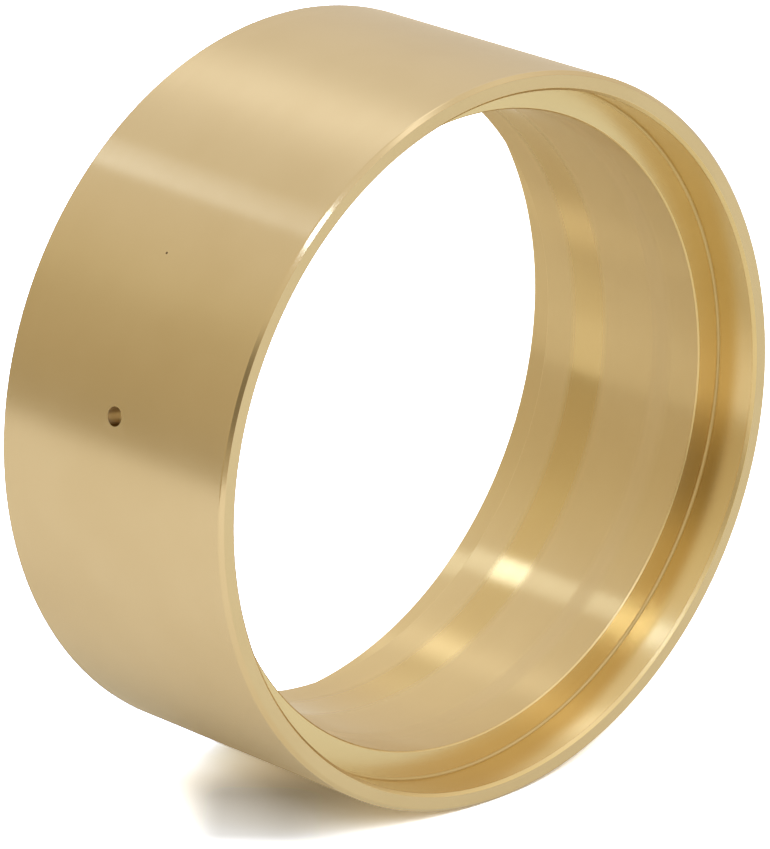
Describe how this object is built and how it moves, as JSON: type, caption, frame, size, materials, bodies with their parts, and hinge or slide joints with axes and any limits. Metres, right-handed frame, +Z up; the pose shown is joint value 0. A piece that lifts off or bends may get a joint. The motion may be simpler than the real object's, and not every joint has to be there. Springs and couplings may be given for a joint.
{
  "type": "sleeve bushing",
  "caption": "Bronze sleeve bushing with a plain bore, a round recess in each end and an oil hole through the wall at mid-width.",
  "frame": {"origin": "on the axis of the bore, halfway between the two end faces", "axes": "+Y along the axis of the bore, from the front end face to the back one; +Z up, as the sleeve stands on its rim; the oil hole points 77.8 degrees from +Z towards -X"},
  "size_m": [0.115, 0.049, 0.115],
  "materials": {
    "sleeve": "fine-turned bronze, satin outside and brighter in the recesses"
  },
  "bodies": {
    "root": {"sleeve": "sleeve"}
  },
  "joints": []
}
